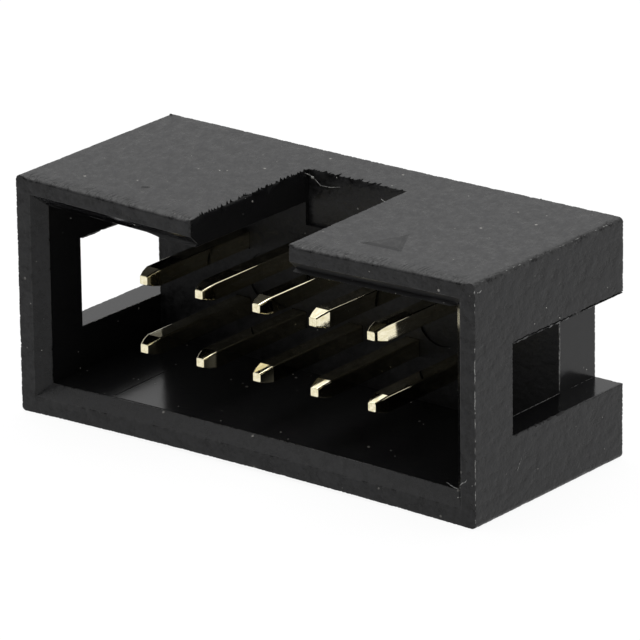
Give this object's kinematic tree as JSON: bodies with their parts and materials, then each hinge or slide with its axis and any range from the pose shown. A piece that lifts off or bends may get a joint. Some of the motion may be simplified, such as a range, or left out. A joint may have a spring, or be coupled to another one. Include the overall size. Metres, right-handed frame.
{
  "type": "idc box header",
  "caption": "Straight shrouded box header for flat-cable plugs: black moulded housing with a keying slot and open end windows around rows of gold-plated square pins with solder tails.",
  "frame": {"origin": "on the lower long wall, in the middle of the length and of the overall depth with the solder tails", "axes": "+X along the length towards the marked first contact, -Y out of the mating mouth, +Y towards the board, +Z towards the keying slot"},
  "size_m": [0.0204, 0.0118, 0.009],
  "materials": {
    "housing_plastic": "black moulded plastic, fine satin texture, slightly glossier inside the cavity",
    "contact_gold": "bright gold plating over square copper-alloy wire"
  },
  "bodies": {
    "root": {"housing": "housing_plastic", "contact_1": "contact_gold", "contact_2": "contact_gold", "contact_3": "contact_gold", "contact_4": "contact_gold", "contact_5": "contact_gold", "contact_6": "contact_gold", "contact_7": "contact_gold", "contact_8": "contact_gold", "contact_9": "contact_gold", "contact_10": "contact_gold"}
  },
  "joints": []
}
